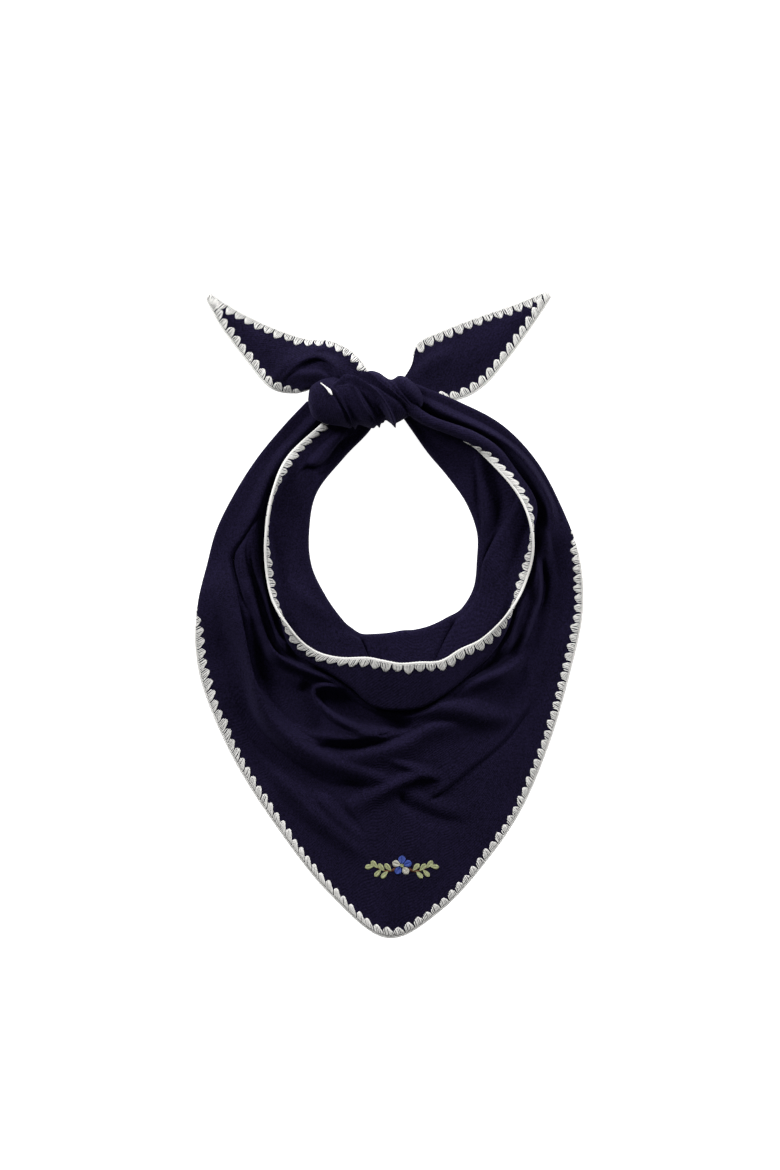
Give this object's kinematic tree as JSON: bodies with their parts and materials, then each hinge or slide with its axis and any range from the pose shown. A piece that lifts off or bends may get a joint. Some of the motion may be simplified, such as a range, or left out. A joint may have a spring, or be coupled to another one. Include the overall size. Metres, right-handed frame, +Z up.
{
  "type": "triangle scarf",
  "caption": "Soft knitted triangle scarf, knotted into a loop and laid flat, with a folded neck edge, a pointed bib, two tails and a scalloped stitched edging.",
  "frame": {"origin": "centre of the footprint of the scarf as it lies, on the surface it rests on", "axes": "+Z up from the surface, +Y from the point of the bib towards the knot, +X to the right with the knot at the far side"},
  "size_m": [0.3507, 0.5824, 0.0404],
  "materials": {
    "knit": "matte dark navy fine-rib knit",
    "edging_yarn": "matte off-white yarn",
    "embroidery_thread": "soft satin embroidery thread"
  },
  "bodies": {
    "root": {"scarf_cloth": "knit", "knot": "knit", "left_tail": "knit", "right_tail": "knit", "neck_edging": "edging_yarn", "bib_edging": "edging_yarn", "left_tail_edging": "edging_yarn", "right_tail_edging": "edging_yarn", "embroidered_spray": "embroidery_thread"}
  },
  "joints": []
}
